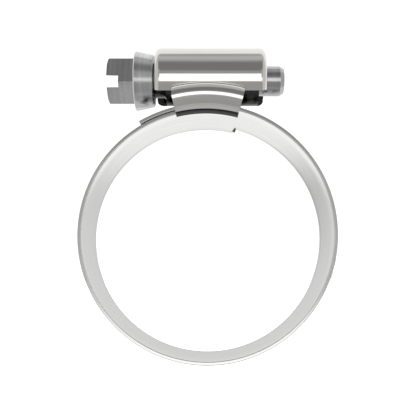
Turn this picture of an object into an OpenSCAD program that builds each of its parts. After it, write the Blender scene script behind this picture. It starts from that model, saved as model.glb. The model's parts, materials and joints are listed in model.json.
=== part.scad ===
// Worm-drive hose clamp, 12 mm band, drawn at a bore of about 37 mm.
// Millimetres. The origin is on the hose axis at mid-width of the strip.
// X runs along the screw (head at -X), Y along the hose, Z up to the screw.
// The strip is one flexible piece. It is drawn as its fixed end and a row of
// short stretches that hinge on each other, so that it can be tightened.

/* [Strip] */
// mean bore of the strip as drawn (mm)
bore = 37; // [36.5:0.1:37.5]
// width of the strip (mm)
band_width = 12; // [11:0.5:12]
// thickness of the strip (mm)
band_thickness = 0.55; // [0.5:0.01:0.6]
// how far the strip climbs in one turn round the hose (mm)
climb_per_turn = 0.66; // [0.64:0.01:0.7]
// gap between two stretches of the strip (mm)
stretch_gap = 0.06; // [0.04:0.01:0.1]

/* [Pressed thread in the strip] */
// height of a ridge above the strip (mm)
ridge_height = 1.2; // [1.1:0.05:1.2]
// width of a ridge at its foot (mm)
ridge_foot = 1.45; // [1.2:0.05:1.5]
// width of a ridge at its top (mm)
ridge_top = 0.75; // [0.5:0.05:0.8]
// length of a ridge across the strip (mm)
ridge_length = 7.2; // [5:0.1:7.6]
// radius of a ridge's round top, across the strip (mm)
crown_radius = 10.3; // [10.2:0.1:14]

/* [Screw] */
// height of the screw's axis above the hose axis (mm)
screw_height = 24.7; // [24.65:0.05:24.9]
// size across the flats of the hexagon head (mm)
hex_flats = 7; // [6:0.5:7]
// length of the hexagon head (mm)
hex_length = 4.2; // [3.5:0.1:4.3]
// width of the slot in the head (mm)
slot_width = 1.8; // [1.2:0.1:2]
// depth of the slot in the head (mm)
slot_depth = 1.85; // [1.2:0.05:2.2]
// angle to which the head is turned as drawn (degrees)
head_angle = 18.2; // [0:0.1:30]
// radius of the collar at its wide side (mm)
collar_radius = 4.7; // [4.3:0.05:4.9]
// radius of the thread's crest (mm)
crest_radius = 4.4; // [4.3:0.01:4.4]
// radius of the plain land at each end of the thread (mm)
land_radius = 3.93; // [3.6:0.01:3.95]
// radius of the thread's root (mm)
root_radius = 3.05; // [2.8:0.01:3.2]
// radius of the neck between the collar and the thread (mm)
neck_radius = 2.69; // [2.4:0.01:2.7]
// radius of the end pin (mm)
pin_radius = 2.38; // [2:0.01:2.45]

/* [Housing] */
// thickness of the housing's sheet (mm)
sheet = 0.65; // [0.6:0.01:0.65]
// outside radius of the tunnel round the screw (mm)
tunnel_radius = 5.17; // [5.15:0.01:5.3]
// outside width of the saddle (mm)
saddle_width = 13.8; // [13.7:0.05:14]

/* [Hidden] */
$fn = 96;
// strip
stretches = 11;
first_hinge = 90;
tail_angle = 481;
fixed_from = 75.5;
step = (tail_angle - first_hinge) / stretches;
growth = climb_per_turn * step / 360;
inner_0 = bore / 2 - growth * stretches / 2;
centre_0 = [-0.472 * climb_per_turn, 0.05 * climb_per_turn];
threaded_stretches = 4;
ridges_each = 6;
ridge_step = step / ridges_each;
ridge_radius = inner_0 + stretches * growth + band_thickness + ridge_height;
pitch = (ridge_radius - 0.1) * ridge_step * PI / 180;
lead = atan(pitch / (2 * PI * (crest_radius - 0.15)));
// screw, distances along X
head_from = -15.75;
collar_from = head_from + hex_length;
collar_to = -8.55;
neck_to = -7;
land_a = -6.54;
thread_from = -5.35;
thread_to = 5.62;
land_b = 7.95;
pin_to = 12.05;
// housing, distances along X
tunnel_from = -8.35;
tunnel_to = 9.1;
wall_a = 1;
wall_b = 1;
tunnel_low = screw_height - 2.85;
tunnel_inside = tunnel_radius - sheet;
saddle_left = 104.2;
saddle_right = 74.6;
saddle_top = 22.7;
saddle_side = 5.46;
saddle_bend = 1.85;
throat = 4.1;
foot_bend = 0.55;
channel = band_width + 0.3;
lip_from = 78;
lip_to = 87;
lip_reach = 1.15;
lip_gap = 0.12;

// ---- layout of the strip ----

function unit(a) = [cos(a), sin(a)];
function hinge_angle(i) = first_hinge + (i - 1) * step;
function inner(i) = inner_0 + growth * i;
function centre(i) = i == 0 ? centre_0 : centre(i - 1) - growth * unit(hinge_angle(i));
function ridge_angle(i, k) = hinge_angle(i) + (k - 0.5) * ridge_step;

// one ridge stands nearly under the screw's middle: the thread passes half a pitch beside it
ridge_x = centre(stretches)[0] + ridge_radius * cos(ridge_angle(stretches, 1));
crest_x = ridge_x + pitch / 2;

// turns the XY plane, with Z up, into the XZ plane that faces -Y
module upright() {
    rotate([90, 0, 0])
        children();
}

// arc of a flat section (radius, width) about the hose side's own centre
module arc(from, to, at) {
    upright()
        translate([at[0], at[1], 0])
            rotate([0, 0, from])
                rotate_extrude(angle = to - from)
                    children();
}

module strip_section(r) {
    translate([r, -band_width / 2])
        square([band_thickness, band_width]);
}

// one ridge: a round-topped bar with sloping flanks, turned to the lead of the thread
module ridge(i, k) {
    a = ridge_angle(i, k);
    r = inner(i) + band_thickness;
    c = centre(i);
    upright()
        translate([c[0], c[1], 0])
            rotate([0, 0, a])
                translate([r, 0, 0])
                    rotate([-lead, 0, 0])
                        intersection() {
                            translate([0, 0, -ridge_length / 2])
                                linear_extrude(height = ridge_length)
                                    polygon([
                                        [-0.25, -ridge_foot / 2],
                                        [0.05, -ridge_foot / 2],
                                        [ridge_height + 0.1, -ridge_top / 2],
                                        [ridge_height + 0.1, ridge_top / 2],
                                        [0.05, ridge_foot / 2],
                                        [-0.25, ridge_foot / 2]
                                    ]);
                            translate([ridge_height - crown_radius, 0, 0])
                                rotate([90, 0, 0])
                                    cylinder(h = 4, r = crown_radius, center = true);
                        }
}

module stretch(i) {
    cut = stretch_gap / 2 / inner(i) * 180 / PI;
    from = hinge_angle(i) + cut;
    to = hinge_angle(i + 1) - (i == stretches ? 0 : cut);
    union() {
        arc(from, to, centre(i))
            strip_section(inner(i));
        if (i > stretches - threaded_stretches) {
            for (k = [1:ridges_each])
                ridge(i, k);
        }
    }
}

// ---- fixed end of the strip, notched at both sides for the saddle's lips ----

module band_fixed_end() {
    cut = stretch_gap / 2 / inner_0 * 180 / PI;
    notch = lip_gap / inner_0 * 180 / PI;
    side = channel / 2 - lip_reach - lip_gap;
    color([0.74, 0.74, 0.72])
        difference() {
            arc(fixed_from, first_hinge - cut, centre_0)
                strip_section(inner_0);
            for (s = [-1, 1])
                arc(lip_from - notch, lip_to + notch, centre_0)
                    translate([inner_0 - 1, s > 0 ? side : -side - 3])
                        square([3, 3]);
        }
}

// ---- housing ----

// rectangle with two sizes of round corner: at the low and the high X side
module rounded(x0, x1, half, low, high) {
    union() {
        translate([x0 + low, -half])
            square([x1 - x0 - low - high, 2 * half]);
        translate([x0, -half + low])
            square([low, 2 * half - 2 * low]);
        translate([x1 - high, -half + high])
            square([high, 2 * half - 2 * high]);
        for (s = [-1, 1]) {
            translate([x0 + low, s * (half - low)])
                circle(r = low);
            translate([x1 - high, s * (half - high)])
                circle(r = high);
        }
    }
}

// barrel round the screw, closed at both ends and cut off flat at the bottom
module barrel(x0, x1, r, corner, low) {
    intersection() {
        translate([0, 0, screw_height])
            rotate([0, 90, 0])
                rotate_extrude()
                    intersection() {
                        rotate([0, 0, 90])
                            rounded(x0, x1, r, corner, corner);
                        translate([0, x0 - 1])
                            square([r + 1, x1 - x0 + 2]);
                    }
        translate([x0 - 1, -r - 1, low])
            cube([x1 - x0 + 2, 2 * r + 2, screw_height + r + 1 - low]);
    }
}

// hole for the screw in an end wall, open downward
module gate(x0, x1, r) {
    union() {
        translate([x0, 0, screw_height])
            rotate([0, 90, 0])
                cylinder(h = x1 - x0, r = r);
        translate([x0, -r, screw_height - 6])
            cube([x1 - x0, 2 * r, 6]);
    }
}

module saddle_section() {
    difference() {
        rounded(inner_0, saddle_top, saddle_width / 2, foot_bend, saddle_bend);
        rounded(inner_0 - 5, saddle_top - sheet, channel / 2, 1, saddle_bend - sheet);
        translate([inner_0 - 5, -throat])
            square([saddle_top - inner_0 + 8, 2 * throat]);
    }
}

module saddle() {
    union() {
        intersection() {
            arc(saddle_right, saddle_left, centre_0)
                saddle_section();
            translate([-saddle_side, -20, 0])
                cube([2 * saddle_side, 40, 40]);
        }
        for (s = [-1, 1])
            arc(lip_from, lip_to, centre_0)
                translate([inner_0 + 0.03, s > 0 ? channel / 2 - lip_reach : -channel / 2 - 0.12])
                    square([band_thickness - 0.08, lip_reach + 0.12]);
    }
}

module housing() {
    color([0.72, 0.72, 0.70])
        union() {
            difference() {
                barrel(tunnel_from, tunnel_to, tunnel_radius, 1, tunnel_low);
                barrel(tunnel_from + wall_a, tunnel_to - wall_b, tunnel_inside, 0.3,
                    tunnel_low - 1);
                gate(tunnel_from - 1, tunnel_from + 2, neck_radius + 0.16);
                gate(tunnel_to - 2, tunnel_to + 1, pin_radius + 0.16);
            }
            saddle();
        }
}

// ---- screw ----

// one turn of the thread's path: distance along X at a turn angle about the axis
function path_x(a) = crest_x + pitch * (a + 90) / 360;
function path_angle(x) = (x - crest_x) * 360 / pitch - 90;
function crest_at(x) = land_radius - 0.2 + (crest_radius - land_radius + 0.2)
    * min(1, max(0, (5.3 - abs(x - 0.075)) / 0.8));
function thread_point(a, r, dx) = [path_x(a) + dx, r * cos(a), r * sin(a)];

module worm_thread() {
    parts = 24;
    a0 = path_angle(thread_from);
    count = floor((path_angle(thread_to) - a0) / 360 * parts);
    crest = 0.55;
    flank = 0.34;
    inside = root_radius - 0.25;
    foot = crest + 2 * flank * (crest_radius - inside) / 1.25;
    points = [
        for (j = [0:count])
            let (a = a0 + j * 360 / parts, r = crest_at(path_x(a)))
                each [
                    thread_point(a, inside, -foot / 2),
                    thread_point(a, r, -crest / 2),
                    thread_point(a, r, crest / 2),
                    thread_point(a, inside, foot / 2)
                ]
    ];
    sides = [
        for (j = [0:count - 1], k = [0:3])
            let (p = 4 * j + k, q = 4 * j + (k + 1) % 4)
                each [[p, q, q + 4], [p, q + 4, p + 4]]
    ];
    ends = [
        [2, 1, 0],
        [3, 2, 0],
        [4 * count, 4 * count + 1, 4 * count + 2],
        [4 * count, 4 * count + 2, 4 * count + 3]
    ];
    polyhedron(points = points, faces = concat(sides, ends), convexity = 6);
}

// the turned body from the collar to the end pin
module screw_body() {
    rotate([0, 90, 0])
        rotate_extrude()
            polygon([
                [0, collar_from - 0.3],
                [3, collar_from - 0.3],
                [3, collar_from],
                [collar_radius - 0.15, collar_from],
                [collar_radius, collar_from + 0.15],
                [4.12, collar_to - 0.12],
                [4, collar_to],
                [neck_radius + 0.25, collar_to],
                [neck_radius, collar_to + 0.15],
                [neck_radius, neck_to],
                [neck_radius + 0.46, land_a],
                [land_radius, land_a],
                [land_radius, thread_from + 0.2],
                [root_radius, thread_from + 0.2],
                [root_radius, thread_to - 0.3],
                [land_radius, thread_to - 0.3],
                [land_radius, land_b],
                [pin_radius, land_b],
                [pin_radius, pin_to - 0.65],
                [pin_radius - 0.4, pin_to],
                [0, pin_to]
            ]);
}

module hex_head() {
    corner = hex_flats / 2 / cos(30);
    intersection() {
        rotate([0, 90, 0])
            rotate([0, 0, 90])
                translate([0, 0, head_from])
                    cylinder(h = hex_length, r = corner, $fn = 6);
        rotate([0, 90, 0])
            rotate_extrude()
                polygon([
                    [0, head_from],
                    [corner - 0.45, head_from],
                    [corner + 0.2, head_from + 0.4],
                    [corner + 0.2, collar_from],
                    [0, collar_from]
                ]);
    }
}

module worm_screw() {
    color([0.55, 0.56, 0.57])
        translate([0, 0, screw_height])
            union() {
                rotate([head_angle, 0, 0])
                    difference() {
                        hex_head();
                        translate([head_from - 1, -10, -slot_width / 2])
                            cube([slot_depth + 1, 20, slot_width]);
                    }
                screw_body();
                worm_thread();
            }
}

// ---- stretches of the strip, from the fixed end round to the free end ----

module band_stretch_01() {
    color([0.78, 0.78, 0.76])
        stretch(1);
}

module band_stretch_02() {
    color([0.78, 0.78, 0.76])
        stretch(2);
}

module band_stretch_03() {
    color([0.78, 0.78, 0.76])
        stretch(3);
}

module band_stretch_04() {
    color([0.78, 0.78, 0.76])
        stretch(4);
}

module band_stretch_05() {
    color([0.78, 0.78, 0.76])
        stretch(5);
}

module band_stretch_06() {
    color([0.78, 0.78, 0.76])
        stretch(6);
}

module band_stretch_07() {
    color([0.78, 0.78, 0.76])
        stretch(7);
}

module band_stretch_08() {
    color([0.78, 0.78, 0.76])
        stretch(8);
}

module band_stretch_09() {
    color([0.78, 0.78, 0.76])
        stretch(9);
}

module band_stretch_10() {
    color([0.78, 0.78, 0.76])
        stretch(10);
}

module band_stretch_11() {
    color([0.78, 0.78, 0.76])
        stretch(11);
}

// ---- what can be built ----

housing();
worm_screw();
band_fixed_end();
band_stretch_01();
band_stretch_02();
band_stretch_03();
band_stretch_04();
band_stretch_05();
band_stretch_06();
band_stretch_07();
band_stretch_08();
band_stretch_09();
band_stretch_10();
band_stretch_11();
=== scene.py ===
import json
import math

import bpy
import numpy as np
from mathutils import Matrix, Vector


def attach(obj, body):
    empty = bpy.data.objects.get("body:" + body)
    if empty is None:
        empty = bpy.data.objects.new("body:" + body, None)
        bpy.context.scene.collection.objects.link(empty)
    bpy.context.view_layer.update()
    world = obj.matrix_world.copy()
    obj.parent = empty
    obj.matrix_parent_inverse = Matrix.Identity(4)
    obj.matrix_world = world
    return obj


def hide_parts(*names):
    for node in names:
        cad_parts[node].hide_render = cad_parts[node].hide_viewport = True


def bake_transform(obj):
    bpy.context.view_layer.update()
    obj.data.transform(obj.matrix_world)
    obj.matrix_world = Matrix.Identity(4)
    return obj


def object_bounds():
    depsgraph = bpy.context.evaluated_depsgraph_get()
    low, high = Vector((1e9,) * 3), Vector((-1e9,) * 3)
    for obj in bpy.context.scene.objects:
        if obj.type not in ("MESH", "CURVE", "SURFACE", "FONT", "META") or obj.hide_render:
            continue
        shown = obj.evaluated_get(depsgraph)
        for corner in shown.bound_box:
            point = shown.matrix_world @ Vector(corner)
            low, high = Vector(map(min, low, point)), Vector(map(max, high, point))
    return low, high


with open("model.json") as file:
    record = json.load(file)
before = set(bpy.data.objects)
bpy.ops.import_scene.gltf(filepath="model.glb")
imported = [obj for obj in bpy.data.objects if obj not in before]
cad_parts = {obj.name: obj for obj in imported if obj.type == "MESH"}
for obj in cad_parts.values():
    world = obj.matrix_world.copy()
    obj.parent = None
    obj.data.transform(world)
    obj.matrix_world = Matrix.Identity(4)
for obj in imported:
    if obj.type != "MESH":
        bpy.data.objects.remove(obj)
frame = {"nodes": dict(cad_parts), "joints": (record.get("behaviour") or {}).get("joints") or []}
cad_low, cad_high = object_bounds()

MM = 0.001

# camera: the photograph's viewing angle, from a little below the hose axis
CAMERA_AT = (0.0, -92.44 * MM, -5.885 * MM)
CAMERA_PITCH = 6.25  # degrees up
CAMERA_LENS = 51.3
CAMERA_SENSOR = 36
CAMERA_CLIP = (5 * MM, 5.0)

# the strip: its angles run round the ring in the plane y = 0, from X towards Z
STRIP_WIDTH = 12 * MM
STRIP_THICK = 0.55 * MM
STRIP_FLAT = 3.6 * MM  # half the width of the flat middle
STRIP_EDGE_RISE = 0.10 * MM
STRIP_EDGE_ROUND = 0.11 * MM
STRETCHES = 11
THREADED_FROM = 8
RIDGES_EACH = 6
FIRST_HINGE = 90  # degrees
TIP = 481  # degrees
STEP = math.radians((TIP - FIRST_HINGE) / STRETCHES)
FIXED_FROM = math.radians(75.5)
START_TAPER = math.radians(1.5)
START_THIN = 0.02  # share of the thickness left at the very start
HALF_PARTS = 12
FIXED_PARTS = 10
EDGE_PARTS = 6

# the wall behind, in the metal's reflections: a soft grey field straight behind the ring, in a
# lighter wall. Places are parts of a unit direction, and fades run from the first to the second.
BACK_RISE = 0.06
BACK_EDGE = 0.20
BACK_EDGE_SOFT = 0.01
BACK_WIDE = 1.15
LOW_FADE = (-0.05, 0.12)
LEFT_FADE = (0.05, 0.20)
FAR_FADE = (0.30, 0.50)
FIELD_LEVEL = 0.65
FIELD_LOW_LEVEL = 0.95
FIELD_LEFT_LEVEL = 0.40
WALL_LEVEL = 0.75
WALL_LOW_LEVEL = 1.10
FAR_LEVEL = 1.1

# the wall in front: the level lowest down, then (degrees up, softness, level above that)
AHEAD = (
    0.42,
    (-17, 0.03, 1.7),
    (8, 0.025, 0.40),
    (19, 0.05, 0.24),
    (57, 0.10, 0.60),
    (80, 0.02, 0.42),
)
BESIDE = (
    0.42,
    (-17, 0.03, 1.2),
    (-3.5, 0.015, 0.50),
    (24, 0.08, 0.26),
    (57, 0.10, 0.60),
    (80, 0.02, 0.42),
)
BESIDE_FADE = (0.145, 0.175)
FAR_SIDE_FADE = (0.35, 0.55)
FAR_SIDE_LEVEL = 0.70
BEHIND_FADE = (-0.06, 0.10)
SEEN_LEVEL = 1.2  # plain white, where the camera looks past the object

# the floor
FLOOR_GAP = 0.3 * MM
FLOOR_FRONT = -38 * MM
FLOOR_REACH = 900 * MM
FLOOR_GLOW = 1.1

# the housing
SCREW_AT = 24.7 * MM
TUNNEL_FROM = -8.35 * MM
TUNNEL_TO = 9.1 * MM
TUNNEL_RADIUS = 5.17 * MM
TUNNEL_CORNER = 0.95 * MM
TUNNEL_DIP = 33.4
SHEET = 0.65 * MM
WALL_A = 1.0 * MM
WALL_B = 1.0 * MM
GATE_A = 2.85 * MM
GATE_B = 2.54 * MM
LINING_CORNER = 0.3 * MM
CORNER_PARTS = 10
TUNNEL_PARTS = 72

# the saddle: in mm round its own centre, and degrees along the ring
SADDLE_BULGE_AT = (21.05, 5.10)
SADDLE_BULGE = 1.75
SADDLE_LINING_BULGE = 1.1
SADDLE_SHEET = 0.75
SADDLE_START = 4.2
SADDLE_TURN = 111
SADDLE_TURN_PARTS = 14
SADDLE_FROM = 74.6
SADDLE_UPTO = 104.2
SADDLE_PARTS = 24
SADDLE_HALF = 5.46 * MM
FOOT_START = -9  # counted from the end of the outer line
FOLD_START = -5
BACK_FOOT = 18.3
BACK_FOLD = 18.72
BACK_FOLD_FROM = 6.05

# the pressed ridges
RIDGE_HEIGHT = 1.2 * MM
RIDGE_FOOT = 1.45 * MM
RIDGE_TOP = 0.75 * MM
RIDGE_CROWN = 0.75 * MM
RIDGE_CROWN_POWER = 1.3
RIDGE_END = 0.35 * MM
RIDGE_SUNK = 0.12 * MM
RIDGE_LEAD = math.radians(4.6)
RIDGE_GRID = (17, 25)

# tones by place on a piece, painted shade: darker rims on the strip, a near-black neck and thread
# on the screw, and a somewhat darker pin end
# the strip's colour is darkened beyond RIM_FROM on both rims, as painted shade on its edges
RIM_FROM = 5.90 * MM
RIM_SOFT = 0.01 * MM
RIM_PAINTED_SHADE = 0.76
# the screw's neck and thread, from NECK_FROM to PIN_FROM, are painted near-black as painted shade;
# the pin end beyond PIN_FROM is a little darker than the head
NECK_FROM = -8.5 * MM
NECK_SOFT = 0.05 * MM
NECK_PAINTED_SHADE = 0.09
PIN_FROM = 7.95 * MM
PIN_SOFT = 0.02 * MM
PIN_TONE = 0.8


# ---- places taken from the frame ----

def hinge_points():
    """Hinges of the strip, in order, in the plane y = 0."""
    joints = {j["name"]: j for j in frame["joints"]}
    names = [f"flex_{i:02d}" for i in range(1, STRETCHES + 1)]
    return [Vector(joints[name]["pos_m"]) for name in names]


HINGES = hinge_points()


def hinge_angle(i):
    """Angle round the ring of the hinge that stretch i starts at."""
    return math.radians(FIRST_HINGE) + (i - 1) * STEP


def unit(a):
    """Outward direction at an angle round the ring."""
    return Vector((math.cos(a), 0, math.sin(a)))


def onward(a):
    """Direction along the strip at an angle round the ring."""
    return Vector((-math.sin(a), 0, math.cos(a)))


def mid_radius(i):
    """Radius of the strip's mid-surface in stretch i; 0 is the fixed end."""
    first = (HINGES[1] - HINGES[0]).length / (2 * math.sin(STEP / 2))
    last = (HINGES[-1] - HINGES[-2]).length / (2 * math.sin(STEP / 2))
    return first + (last - first) * (i - 1) / (STRETCHES - 2)


def centre(i):
    """Centre of the arc of stretch i; the fixed end, 0, has an arc that ends at hinge 1."""
    k = max(i, 1)
    return HINGES[k - 1] - mid_radius(i) * unit(hinge_angle(k))


SADDLE_CENTRE = centre(0)


def body(i):
    """Name of the body that holds stretch i; 0 is the fixed end."""
    return "clamp_base" if i == 0 else f"stretch_{i:02d}"


# ---- materials ----

def new_material(name):
    """A new material, with its node tree and its shader."""
    material = bpy.data.materials.new(name)
    material.use_nodes = True
    tree = material.node_tree
    return material, tree, tree.nodes["Principled BSDF"]


def node(tree, kind, **values):
    """A new shader node with the stated settings."""
    made = tree.nodes.new(kind)
    for key, value in values.items():
        setattr(made, key, value)
    return made


def streaks(tree, stretch, scale):
    """Noise drawn out along one direction, such as rolling or turning marks."""
    place = node(tree, "ShaderNodeTexCoord")
    squeeze = node(tree, "ShaderNodeMapping")
    squeeze.inputs["Scale"].default_value = stretch
    noise = node(tree, "ShaderNodeTexNoise")
    noise.inputs["Scale"].default_value = scale
    noise.inputs["Detail"].default_value = 3.0
    tree.links.new(place.outputs["Object"], squeeze.inputs["Vector"])
    tree.links.new(squeeze.outputs["Vector"], noise.inputs["Vector"])
    return noise


def ramp(tree, source, points):
    """Colours by value, from a list of (place, colour)."""
    made = node(tree, "ShaderNodeValToRGB")
    elements = made.color_ramp.elements
    while len(elements) < len(points):
        elements.new(0.5)
    for element, (at, colour) in zip(elements, points):
        element.position = at
        element.color = (*colour, 1)
    tree.links.new(source, made.inputs["Fac"])
    return made


def span(tree, source, low, high):
    """Maps 0 to 1 onto low to high."""
    made = node(tree, "ShaderNodeMapRange")
    made.inputs["To Min"].default_value = low
    made.inputs["To Max"].default_value = high
    tree.links.new(source, made.inputs["Value"])
    return made


def bump(tree, source, shader, strength, depth):
    """Gives the shader a fine relief."""
    made = node(tree, "ShaderNodeBump")
    made.inputs["Strength"].default_value = strength
    made.inputs["Distance"].default_value = depth
    tree.links.new(source, made.inputs["Height"])
    tree.links.new(made.outputs["Normal"], shader.inputs["Normal"])


def metal(name, dark, light, rough, stretch, scale, relief):
    """Metal with fine marks along one direction, in colour, gloss and relief."""
    material, tree, shader = new_material(name)
    shader.inputs["Metallic"].default_value = 1.0
    marks = streaks(tree, stretch, scale)
    tone = ramp(tree, marks.outputs["Fac"], [(0.3, dark), (0.7, light)])
    tree.links.new(tone.outputs["Color"], shader.inputs["Base Color"])
    gloss = span(tree, marks.outputs["Fac"], *rough)
    tree.links.new(gloss.outputs["Result"], shader.inputs["Roughness"])
    bump(tree, marks.outputs["Fac"], shader, 0.15, relief)
    return material


def smooth_step(tree, source, low, high):
    """Goes smoothly from 0 to 1 as the source goes from low to high."""
    made = node(tree, "ShaderNodeMapRange", interpolation_type="SMOOTHSTEP")
    made.inputs["From Min"].default_value = low
    made.inputs["From Max"].default_value = high
    tree.links.new(source, made.inputs["Value"])
    return made.outputs["Result"]


def mix_value(tree, factor, a, b):
    """Value a where the factor is 0 and b where it is 1; each is a number or a socket."""
    made = node(tree, "ShaderNodeMix", data_type="FLOAT")
    tree.links.new(factor, made.inputs["Factor"])
    for socket, value in ((made.inputs["A"], a), (made.inputs["B"], b)):
        if isinstance(value, (int, float)):
            socket.default_value = value
        else:
            tree.links.new(value, socket)
    return made.outputs["Result"]


def ease(tree, value, steps):
    """Steps through levels as value rises: a first level, then (at, softness, next level)."""
    level = steps[0]
    for at, soft, following in steps[1:]:
        passed = smooth_step(tree, value, at - soft, at + soft)
        level = mix_value(tree, passed, level, following)
    return level


def math_node(tree, operation, a, b=None):
    """One sum on one or two values; each is a number or a socket."""
    made = node(tree, "ShaderNodeMath", operation=operation)
    for socket, value in zip(made.inputs, (a, b)):
        if isinstance(value, (int, float)):
            socket.default_value = value
        elif value is not None:
            tree.links.new(value, socket)
    return made.outputs["Value"]


def tone_at(material, axis, steps, both_sides=False):
    """Multiplies the metal's colour by a level that changes along one axis of the piece."""
    tree = material.node_tree
    shader = tree.nodes["Principled BSDF"]
    source = shader.inputs["Base Color"].links[0].from_socket
    place = node(tree, "ShaderNodeTexCoord")
    split = node(tree, "ShaderNodeSeparateXYZ")
    tree.links.new(place.outputs["Object"], split.inputs["Vector"])
    value = split.outputs[axis]
    if both_sides:
        value = math_node(tree, "ABSOLUTE", value)
    level = ease(tree, value, steps)
    mixed = node(tree, "ShaderNodeVectorMath", operation="SCALE")
    tree.links.new(source, mixed.inputs[0])
    tree.links.new(level, mixed.inputs["Scale"])
    tree.links.new(mixed.outputs["Vector"], shader.inputs["Base Color"])


STRIP_METAL = metal(
    "strip_metal", (0.74, 0.74, 0.73), (0.80, 0.80, 0.79), (0.10, 0.20),
    (60, 900, 60), 2.0, 0.004 * MM,
)
# painted shade: the strip's colour darker on both rims
tone_at(STRIP_METAL, "Y", [1.0, (RIM_FROM, RIM_SOFT, RIM_PAINTED_SHADE)], both_sides=True)
HOUSING_METAL = metal(
    "housing_metal", (0.66, 0.65, 0.62), (0.72, 0.71, 0.68), (0.06, 0.13),
    (40, 600, 600), 2.0, 0.003 * MM,
)
SCREW_METAL = metal(
    "screw_metal", (0.50, 0.50, 0.51), (0.60, 0.60, 0.61), (0.14, 0.26),
    (900, 60, 60), 2.0, 0.004 * MM,
)
# painted shade: the screw's neck and thread near-black, and its pin end a little darker
tone_at(SCREW_METAL, "X", [
    1.0,
    (NECK_FROM, NECK_SOFT, NECK_PAINTED_SHADE),
    (PIN_FROM, PIN_SOFT, PIN_TONE),
])
# near-black metal as painted shade: on the tunnel's lining and cut faces, the saddle's linings, and
# the front fold and lip
SHADE_PAINTED_METAL = metal(
    "painted_shade_metal", (0.020, 0.020, 0.020), (0.045, 0.044, 0.042), (0.40, 0.62),
    (500, 500, 500), 2.0, 0.004 * MM,
)
# cut faces of the housing: a rougher finish, with the colour painted dark as painted shade
CUT_FACE_SHADE_METAL = metal(
    "cut_face_painted_shade", (0.10, 0.10, 0.10), (0.18, 0.18, 0.17), (0.32, 0.50),
    (700, 700, 90), 2.0, 0.008 * MM,
)


# ---- mesh helpers ----

def make_mesh(name, points, faces, material, normals=None):
    """A smooth-shaded mesh object, with its own normals where they are given."""
    mesh = bpy.data.meshes.new(name)
    mesh.from_pydata([tuple(p) for p in points], [], faces)
    mesh.materials.append(material)
    for face in mesh.polygons:
        face.use_smooth = True
    mesh.validate()
    mesh.update()
    if normals is not None:
        mesh.normals_split_custom_set_from_vertices([tuple(n) for n in normals])
    piece = bpy.data.objects.new(name, mesh)
    bpy.context.scene.collection.objects.link(piece)
    return piece


# ---- the strip ----

def edge_rise(y):
    """How far the strip's edges are turned up at y, from its flat middle."""
    side = max(0.0, (abs(y) - STRIP_FLAT) / (STRIP_WIDTH / 2 - STRIP_FLAT))
    return STRIP_EDGE_RISE * (side * side - 0.8)


def edge_slope(y):
    """Slope of the turned-up edge at y."""
    reach = STRIP_WIDTH / 2 - STRIP_FLAT
    side = max(0.0, (abs(y) - STRIP_FLAT) / reach)
    return math.copysign(2 * STRIP_EDGE_RISE * side / reach, y)


def level_normal(slope):
    """Normal (outward, y) of the strip's outer face where it has this slope."""
    length = math.hypot(1, slope)
    return 1 / length, -slope / length


def add_corner(points, normals, offset, y, first):
    """Adds a quarter turn round (offset, y), clockwise from the first angle, in degrees."""
    for k in range(EDGE_PARTS + 1):
        a = math.radians(first - 90 / EDGE_PARTS * k)
        points.append((offset + STRIP_EDGE_ROUND * math.cos(a), y + STRIP_EDGE_ROUND * math.sin(a)))
        normals.append((math.cos(a), math.sin(a)))


def strip_section():
    """Closed outline (offset from the mid-surface, y) of the strip, with its outward normals."""
    half = STRIP_WIDTH / 2
    t = STRIP_THICK / 2
    rim = half - STRIP_EDGE_ROUND
    over = t - STRIP_EDGE_ROUND + edge_rise(half)
    under = -(t - STRIP_EDGE_ROUND) + edge_rise(half)
    flat = [y * MM for y in (3.6, 3.0, 1.5, 0, -1.5, -3.0, -3.6)]
    rims = [rim - k / 6 * (rim - STRIP_FLAT) for k in range(6)]
    across = rims + flat + [-y for y in reversed(rims)]
    points, normals = [], []

    for y in across:
        points.append((t + edge_rise(y), y))
        normals.append(level_normal(edge_slope(y)))
    add_corner(points, normals, over, -rim, 0)
    add_corner(points, normals, under, -rim, -90)
    for y in reversed(across):
        points.append((-t + edge_rise(y), y))
        out, along = level_normal(edge_slope(y))
        normals.append((-out, -along))
    add_corner(points, normals, under, rim, 180)
    add_corner(points, normals, over, rim, 90)
    return points, normals


SECTION, SECTION_NORMALS = strip_section()


def sweep(stations):
    """Points, faces and normals of the section carried through (stretch, angle) stations."""
    points, normals, faces = [], [], []
    size = len(SECTION)
    for i, angle in stations:
        out = unit(angle)
        thin = 1.0
        if i == 0:
            thin = min(1.0, max(START_THIN, (angle - FIXED_FROM) / START_TAPER))
        for (offset, y), (n_out, n_y) in zip(SECTION, SECTION_NORMALS):
            offset = STRIP_THICK / 2 + (offset - STRIP_THICK / 2) * thin
            points.append(centre(i) + (mid_radius(i) + offset) * out + Vector((0, y, 0)))
            normals.append(n_out * out + Vector((0, n_y, 0)))
    for s in range(len(stations) - 1):
        for k in range(size):
            a = s * size + k
            b = s * size + (k + 1) % size
            faces.append((a, a + size, b + size, b))
    return points, faces, normals


def cap(points, faces, normals, at_end, direction):
    """Closes one end of a sweep with its own flat-shaded face."""
    size = len(SECTION)
    ring = points[-size:] if at_end else points[:size]
    first = len(points)
    points.extend(ring)
    normals.extend([direction] * size)
    face = list(range(first, first + size))
    faces.append(tuple(reversed(face) if at_end else face))


def half_stations(i, from_share, to_share, parts):
    """Stations (stretch, angle) along a share of stretch i; 0 is the fixed end."""
    start = FIXED_FROM if i == 0 else hinge_angle(i)
    length = (hinge_angle(1) - FIXED_FROM) if i == 0 else STEP
    shares = [from_share + (to_share - from_share) * k / parts for k in range(parts + 1)]
    return [(i, start + length * s) for s in shares]


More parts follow.
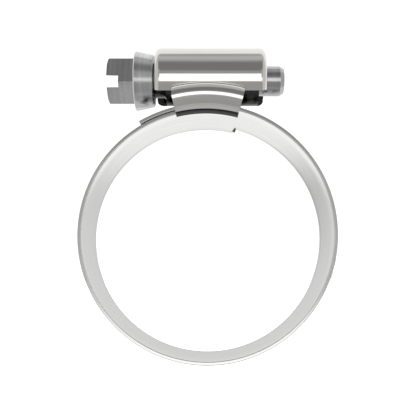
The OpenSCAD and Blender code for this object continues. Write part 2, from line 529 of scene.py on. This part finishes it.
def strip_piece(i):
    """The strip from the middle of the stretch before hinge i to the middle of stretch i."""
    if i == 1:
        before = half_stations(0, 0, 1, FIXED_PARTS)
    else:
        before = half_stations(i - 1, 0.5, 1, HALF_PARTS)
    after = half_stations(i, 0, 0.5, HALF_PARTS)
    points, faces, normals = sweep(before + after[1:])
    if i == 1:
        cap(points, faces, normals, False, -onward(FIXED_FROM))
    piece = make_mesh(f"strip_{i:02d}", points, faces, STRIP_METAL, normals)
    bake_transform(piece)
    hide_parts(f"band_stretch_{i:02d}")
    if i == 1:
        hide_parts("band_fixed_end")


def strip_tip():
    """The free end of the strip, from the middle of the last stretch."""
    points, faces, normals = sweep(half_stations(STRETCHES, 0.5, 1, HALF_PARTS))
    cap(points, faces, normals, True, onward(hinge_angle(STRETCHES + 1)))
    piece = make_mesh("strip_tip", points, faces, STRIP_METAL, normals)
    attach(piece, body(STRETCHES))


def ridge_shape(along, across):
    """Height of a ridge above the strip: round-topped across the strip, with sloping flanks."""
    flank = (RIDGE_FOOT / 2 - abs(along)) / ((RIDGE_FOOT - RIDGE_TOP) / 2)
    end = (STRIP_FLAT - abs(across)) / RIDGE_END
    low = max(0.0, min(1.0, flank, end))
    crown = RIDGE_HEIGHT - RIDGE_CROWN * (abs(across) / STRIP_FLAT) ** RIDGE_CROWN_POWER
    return low * low * (3 - 2 * low) * (crown + RIDGE_SUNK) - RIDGE_SUNK


def ridges(i):
    """The pressed ridges of stretch i."""
    points, faces = [], []
    nu, nv = RIDGE_GRID
    for k in range(RIDGES_EACH):
        angle = hinge_angle(i) + (k + 0.5) / RIDGES_EACH * STEP
        out = unit(angle)
        side = onward(angle)
        foot = centre(i) + (mid_radius(i) + STRIP_THICK / 2) * out
        first = len(points)
        for u in range(nu):
            for v in range(nv):
                along = (u / (nu - 1) - 0.5) * RIDGE_FOOT
                across = math.sin((v / (nv - 1) - 0.5) * math.pi) * STRIP_FLAT
                height = ridge_shape(along, across)
                turned = along * math.cos(RIDGE_LEAD) + across * math.sin(RIDGE_LEAD)
                width = across * math.cos(RIDGE_LEAD) - along * math.sin(RIDGE_LEAD)
                points.append(foot + turned * side + height * out + Vector((0, width, 0)))
        for u in range(nu - 1):
            for v in range(nv - 1):
                a = first + u * nv + v
                faces.append((a, a + nv, a + nv + 1, a + 1))
    piece = make_mesh(f"ridges_{i:02d}", points, faces, STRIP_METAL)
    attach(piece, body(i))


# ---- the housing ----

def grid(rows):
    """Faces between rows of equal length."""
    faces = []
    size = len(rows[0])
    for j in range(len(rows) - 1):
        for k in range(size - 1):
            a = j * size + k
            faces.append((a, a + size, a + size + 1, a + 1))
    return faces


def surface(name, rows, material, flip=False):
    """A piece of the housing, from rows of points."""
    points = [p for row in rows for p in row]
    faces = grid(rows)
    if flip:
        faces = [tuple(reversed(f)) for f in faces]
    piece = make_mesh(name, points, faces, material)
    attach(piece, "clamp_base")


def turn_line(points, corners):
    """Polyline (x, r) with its square corners rounded: corners holds a radius for each point."""
    out = []
    for k, (p, radius) in enumerate(zip(points, corners)):
        if radius == 0:
            out.append(p)
            continue
        before, after = points[k - 1], points[k + 1]
        toward = [(q[0] - p[0], q[1] - p[1]) for q in (before, after)]
        back, on = [(w[0] / math.hypot(*w), w[1] / math.hypot(*w)) for w in toward]
        middle = [p[j] + radius * back[j] + radius * on[j] for j in (0, 1)]
        for step in range(CORNER_PARTS + 1):
            a = math.radians(90 * step / CORNER_PARTS)
            out.append(tuple(
                middle[j] - radius * (on[j] * math.cos(a) + back[j] * math.sin(a))
                for j in (0, 1)
            ))
    return out


def tunnel_row(line, psi):
    """The line (x, r) turned to an angle round the screw, from the front over the top."""
    out = Vector((0, -math.cos(psi), math.sin(psi)))
    return [Vector((x, 0, SCREW_AT)) + r * out for x, r in line]


def tunnel():
    """Closed barrel round the screw, with a rounded corner at each end wall."""
    x0, x1 = TUNNEL_FROM, TUNNEL_TO
    in0, in1 = x0 + WALL_A, x1 - WALL_B
    r, bore = TUNNEL_RADIUS, TUNNEL_RADIUS - SHEET
    skin = refine(turn_line(
        [(x0, GATE_A), (x0, r), (x1, r), (x1, GATE_B)],
        [0, TUNNEL_CORNER, TUNNEL_CORNER, 0],
    ))
    lining = refine(turn_line(
        [(in0, GATE_A), (in0, bore), (in1, bore), (in1, GATE_B)],
        [0, LINING_CORNER, LINING_CORNER, 0],
    ))
    sweep_angle = 180 + 2 * TUNNEL_DIP
    turns = [
        math.radians(-TUNNEL_DIP + k / TUNNEL_PARTS * sweep_angle)
        for k in range(TUNNEL_PARTS + 1)
    ]
    surface("tunnel_skin", [tunnel_row(skin, a) for a in turns], HOUSING_METAL, True)
    # the lining and the cut faces are painted near-black, as painted shade inside the tunnel
    surface("tunnel_lining", [tunnel_row(lining, a) for a in turns], SHADE_PAINTED_METAL)
    for end, a in (("front", turns[0]), ("back", turns[-1])):
        rows = [tunnel_row(skin, a), tunnel_row(match(lining, len(skin)), a)]
        surface(f"tunnel_cut_{end}", rows, SHADE_PAINTED_METAL, end == "front")
    # the gate faces in the end walls take the dark cut-face metal, as painted shade
    for wall, x, inner_x, gate in (("a", x0, in0, GATE_A), ("b", x1, in1, GATE_B)):
        rows = [tunnel_row([(x, gate), (inner_x, gate)], a) for a in turns]
        surface(f"tunnel_gate_{wall}", rows, CUT_FACE_SHADE_METAL, wall == "a")


def refine(line, most=0.5 * MM):
    """Adds points so that no side of a line is longer than most."""
    out = [line[0]]
    for p, q in zip(line, line[1:]):
        parts = max(1, math.ceil(math.hypot(q[0] - p[0], q[1] - p[1]) / most))
        for k in range(1, parts + 1):
            out.append(tuple(p[j] + (q[j] - p[j]) * k / parts for j in (0, 1)))
    return out


def match(line, count):
    """The line drawn again with the stated count of evenly spaced points."""
    steps = [math.hypot(q[0] - p[0], q[1] - p[1]) for p, q in zip(line, line[1:])]
    total = np.concatenate([[0.0], np.cumsum(steps)])
    at = np.linspace(0, total[-1], count)
    xs = np.interp(at, total, [p[0] for p in line])
    rs = np.interp(at, total, [p[1] for p in line])
    return list(zip(xs.tolist(), rs.tolist()))


def saddle_lines():
    """Outer and inner lines of one side of the saddle, as (radius, distance from y = 0) in mm."""
    mid_r, mid_y = SADDLE_BULGE_AT
    outer = [(mid_r + SADDLE_BULGE, SADDLE_START)]
    inner = [(mid_r + SADDLE_BULGE - SADDLE_SHEET, SADDLE_START)]
    for k in range(SADDLE_TURN_PARTS + 1):
        a = math.radians(90 - SADDLE_TURN * k / SADDLE_TURN_PARTS)
        for line, bulge in ((outer, SADDLE_BULGE), (inner, SADDLE_LINING_BULGE)):
            line.append((mid_r + bulge * math.sin(a), mid_y + bulge * math.cos(a)))
    outer += [
        (19.85, 6.53), (19.28, 6.31),  # flank
        (19.27, 6.32), (18.90, 6.48), (18.55, 6.64), (18.40, 6.72),  # foot
        (18.30, 6.76), (18.20, 6.70), (18.10, 6.50), (18.02, 6.0), (17.95, 5.2),  # fold
    ]
    inner += [
        (19.95, 6.12), (19.35, 6.12),
        (19.30, 6.12), (18.90, 6.12), (18.60, 6.12), (18.52, 6.11),
        (18.46, 6.08), (18.40, 6.02), (18.33, 5.9), (18.24, 5.7), (18.13, 5.2),
    ]
    return outer, inner


def saddle_point(r, y, a, side):
    """Spot on the saddle; side is -1 in front and 1 behind, where the foot is kept shorter."""
    if side > 0:
        r = max(r, BACK_FOOT if y > BACK_FOLD_FROM else BACK_FOLD)
    spot = SADDLE_CENTRE + r * MM * unit(a) + Vector((0, side * y * MM, 0))
    spot.x = max(-SADDLE_HALF, min(SADDLE_HALF, spot.x))
    return spot


def saddle():
    """The two bent flanks that join the tunnel and wrap the strip's edges."""
    outer, inner = saddle_lines()
    angles = [
        math.radians(SADDLE_FROM + (SADDLE_UPTO - SADDLE_FROM) * k / SADDLE_PARTS)
        for k in range(SADDLE_PARTS + 1)
    ]
    # painted shade: the front fold and lip take the near-black metal, while the back ones take the
    # plain housing metal
    for label, side, under in (("front", -1, SHADE_PAINTED_METAL), ("back", 1, HOUSING_METAL)):
        skin, foot, fold, inside, lip = [
            [[saddle_point(r, y, a, side) for r, y in line] for a in angles]
            for line in (
                outer[:FOOT_START],
                outer[FOOT_START:FOLD_START + 1],
                outer[FOLD_START:],
                inner,
                (outer[-1], inner[-1]),
            )
        ]
        surface(f"saddle_{label}", skin, HOUSING_METAL, side > 0)
        surface(f"saddle_foot_{label}", foot, HOUSING_METAL, side > 0)
        surface(f"saddle_fold_{label}", fold, under, side > 0)
        # the saddle's lining is painted near-black, as painted shade
        surface(f"saddle_lining_{label}", inside, SHADE_PAINTED_METAL, side < 0)
        surface(f"saddle_lip_{label}", lip, under, side > 0)
        # the saddle's cut ends take the dark cut-face metal, as painted shade
        for end, a in (("a", angles[0]), ("b", angles[-1])):
            rows = [
                [saddle_point(*p, a, side), saddle_point(*q, a, side)]
                for p, q in zip(outer, inner)
            ]
            flip = (side > 0) == (end == "a")
            surface(f"saddle_end_{label}_{end}", rows, CUT_FACE_SHADE_METAL, flip)


def housing():
    """The one pressed part: the tunnel round the screw and the saddle under it."""
    tunnel()
    saddle()
    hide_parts("housing")


# ---- the screw ----

def dress(name, material):
    """Gives a piece that keeps its CAD mesh one material."""
    materials = frame["nodes"][name].data.materials
    materials.clear()
    materials.append(material)


# ---- studio ----

def camera():
    """The photograph's viewpoint."""
    data = bpy.data.cameras.new("camera")
    data.sensor_width = CAMERA_SENSOR
    data.lens = CAMERA_LENS
    data.clip_start, data.clip_end = CAMERA_CLIP
    made = bpy.data.objects.new("camera", data)
    made.location = CAMERA_AT
    made.rotation_euler = (math.radians(90 + CAMERA_PITCH), 0, 0)
    bpy.context.scene.collection.objects.link(made)
    bpy.context.scene.camera = made


def back_wall(tree, side, up):
    """A soft grey field, lighter low down and darker to the left, in a lighter wall."""
    rise = math_node(tree, "ADD", up, BACK_RISE)
    squeezed = math_node(tree, "DIVIDE", side, BACK_WIDE)
    across = math_node(tree, "MULTIPLY", squeezed, squeezed)
    upward = math_node(tree, "MULTIPLY", rise, rise)
    away = math_node(tree, "SQRT", math_node(tree, "ADD", across, upward))
    low = smooth_step(tree, math_node(tree, "MULTIPLY", rise, -1), *LOW_FADE)
    left = smooth_step(tree, math_node(tree, "MULTIPLY", side, -1), *LEFT_FADE)
    shade = mix_value(tree, left, FIELD_LEVEL, FIELD_LEFT_LEVEL)
    field = mix_value(tree, low, shade, FIELD_LOW_LEVEL)
    wall = mix_value(tree, low, WALL_LEVEL, WALL_LOW_LEVEL)
    edge = smooth_step(tree, away, BACK_EDGE - BACK_EDGE_SOFT, BACK_EDGE + BACK_EDGE_SOFT)
    near = mix_value(tree, edge, field, wall)
    return mix_value(tree, smooth_step(tree, away, *FAR_FADE), near, FAR_LEVEL)


def wall_bands(tree, up, bands):
    """Levels of the wall in front, by height."""
    first, *others = bands
    return ease(tree, up, [first] + [
        (math.sin(math.radians(degrees)), soft, level) for degrees, soft, level in others
    ])


def studio_light():
    """The soft studio that the metal mirrors; the camera itself sees plain white behind."""
    world = bpy.data.worlds.new("studio")
    bpy.context.scene.world = world
    world.use_nodes = True
    tree = world.node_tree
    tree.nodes.clear()
    place = node(tree, "ShaderNodeTexCoord")
    split = node(tree, "ShaderNodeSeparateXYZ")
    tree.links.new(place.outputs["Generated"], split.inputs["Vector"])
    up = split.outputs["Z"]
    ahead = wall_bands(tree, up, AHEAD)
    beside = wall_bands(tree, up, BESIDE)
    side = math_node(tree, "ABSOLUTE", split.outputs["X"])
    near = mix_value(tree, smooth_step(tree, side, *BESIDE_FADE), ahead, beside)
    front = mix_value(tree, smooth_step(tree, side, *FAR_SIDE_FADE), near, FAR_SIDE_LEVEL)
    back = back_wall(tree, split.outputs["X"], up)
    behind = smooth_step(tree, split.outputs["Y"], *BEHIND_FADE)
    level = mix_value(tree, behind, front, back)
    rays = node(tree, "ShaderNodeLightPath")
    seen = mix_value(tree, rays.outputs["Is Camera Ray"], level, SEEN_LEVEL)
    background = node(tree, "ShaderNodeBackground")
    background.inputs["Color"].default_value = (1, 1, 1, 1)
    tree.links.new(seen, background.inputs["Strength"])
    output = node(tree, "ShaderNodeOutputWorld")
    tree.links.new(background.outputs["Background"], output.inputs["Surface"])


def floor():
    """A plain pale floor under the object, which the metal does not mirror."""
    material, tree, shader = new_material("floor_paper")
    grain = streaks(tree, (400, 400, 400), 1.0)
    papers = [(0.0, (0.90, 0.90, 0.90)), (1.0, (0.96, 0.96, 0.96))]
    tone = ramp(tree, grain.outputs["Fac"], papers)
    tree.links.new(tone.outputs["Color"], shader.inputs["Base Color"])
    shader.inputs["Roughness"].default_value = 0.9
    shader.inputs["Emission Color"].default_value = (1, 1, 1, 1)
    shader.inputs["Emission Strength"].default_value = FLOOR_GLOW
    low = cad_low.z - FLOOR_GAP
    outline = [
        (-FLOOR_REACH, FLOOR_FRONT), (FLOOR_REACH, FLOOR_FRONT),
        (FLOOR_REACH, FLOOR_REACH), (-FLOOR_REACH, FLOOR_REACH),
    ]
    corners = [(x, y, low) for x, y in outline]
    made = make_mesh("floor", corners, [(0, 1, 2, 3)], material)
    made.visible_glossy = False


def main():
    """Builds the scene."""
    camera()
    for i in range(1, STRETCHES + 1):
        strip_piece(i)
    strip_tip()
    for i in range(THREADED_FROM, STRETCHES + 1):
        ridges(i)
    housing()
    dress("worm_screw", SCREW_METAL)
    studio_light()
    floor()
    bpy.context.scene.view_settings.view_transform = "Standard"


main()
